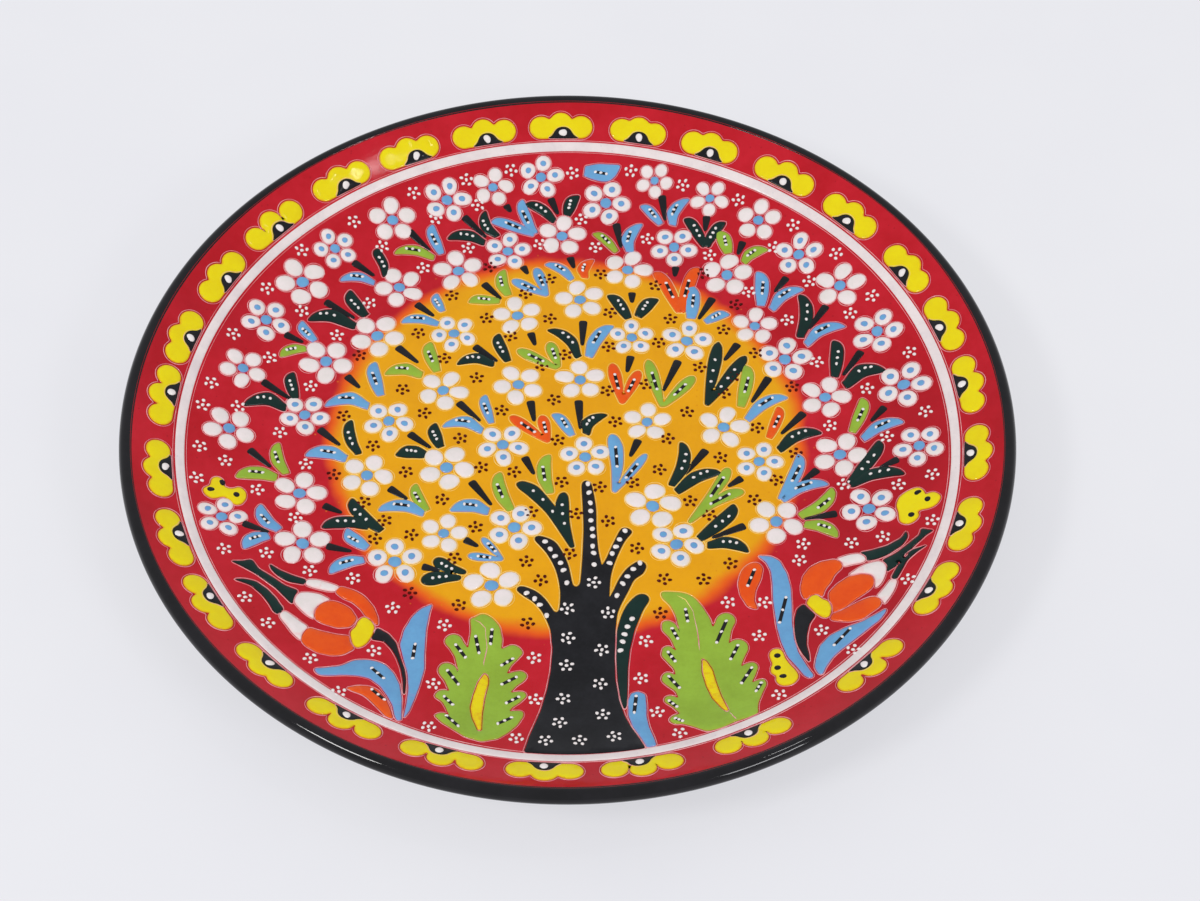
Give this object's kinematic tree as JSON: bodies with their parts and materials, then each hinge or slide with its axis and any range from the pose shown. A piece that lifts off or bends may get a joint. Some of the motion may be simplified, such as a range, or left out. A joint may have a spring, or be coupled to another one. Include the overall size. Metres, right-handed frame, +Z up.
{
  "type": "decorative plate",
  "caption": "Round ceramic wall or table plate with a foot ring, black lip, flowered red border and a raised-enamel tree of life on an orange sun.",
  "frame": {"origin": "centre of the foot ring, in the plane it rests on", "axes": "+Z up out of the painted face, the foot of the painted trunk towards -Y, +X to the right of the picture"},
  "size_m": [0.3, 0.3, 0.0295],
  "materials": {
    "clay": "fired buff clay, bare only on the foot ring",
    "back_glaze": "dark gloss glaze, slightly uneven",
    "rim_black": "thick black gloss glaze on the lip",
    "red_ground": "brushed red underglaze below clear gloss",
    "sun_orange": "orange-yellow underglaze fading to red at its edge, clear gloss",
    "white_band": "white gloss enamel line",
    "yellow_enamel": "raised yellow enamel, glossy",
    "black_enamel": "raised black enamel, glossy",
    "pearl_white": "small white enamel pearls",
    "white_enamel": "raised white enamel, glossy, faintly pooled",
    "blue_enamel": "sky blue enamel, glossy",
    "dark_green_enamel": "near-black green enamel, glossy",
    "green_enamel": "light green enamel, glossy",
    "orange_enamel": "orange-red enamel, glossy",
    "maroon_enamel": "dark maroon enamel dots"
  },
  "bodies": {
    "root": {"clay_body": "clay", "back_glaze": "back_glaze", "rim_glaze": "rim_black", "border_ground": "red_ground", "ring_band": "white_band", "well_ground": "red_ground", "sun_ground": "sun_orange", "border_flowers": "yellow_enamel", "flower_hearts": "black_enamel", "flower_pearls": "pearl_white", "tree_trunk": "black_enamel", "trunk_pearls": "pearl_white", "branch_pearls": "pearl_white", "trunk_side_leaf": "dark_green_enamel", "trunk_foot_leaf": "blue_enamel", "blossom_petals": "white_enamel", "blossom_centres": "blue_enamel", "petal_spots": "blue_enamel", "blossom_stems": "black_enamel", "dark_leaves": "dark_green_enamel", "blue_leaves": "blue_enamel", "green_leaves": "green_enamel", "orange_leaves": "orange_enamel", "leaf_dashes": "black_enamel", "leaf_pearls": "pearl_white", "white_seeds": "pearl_white", "maroon_seeds": "maroon_enamel", "tulip_tips": "dark_green_enamel", "tulip_whites": "white_enamel", "tulip_flames": "orange_enamel", "tulip_cups": "yellow_enamel", "tulip_stems": "black_enamel", "tulip_leaves": "blue_enamel", "hook_leaves": "orange_enamel", "saz_leaves": "green_enamel", "saz_cores": "yellow_enamel", "saz_dashes": "black_enamel", "saz_pearls": "pearl_white", "butterflies": "yellow_enamel", "butterfly_spots": "black_enamel"}
  },
  "joints": []
}
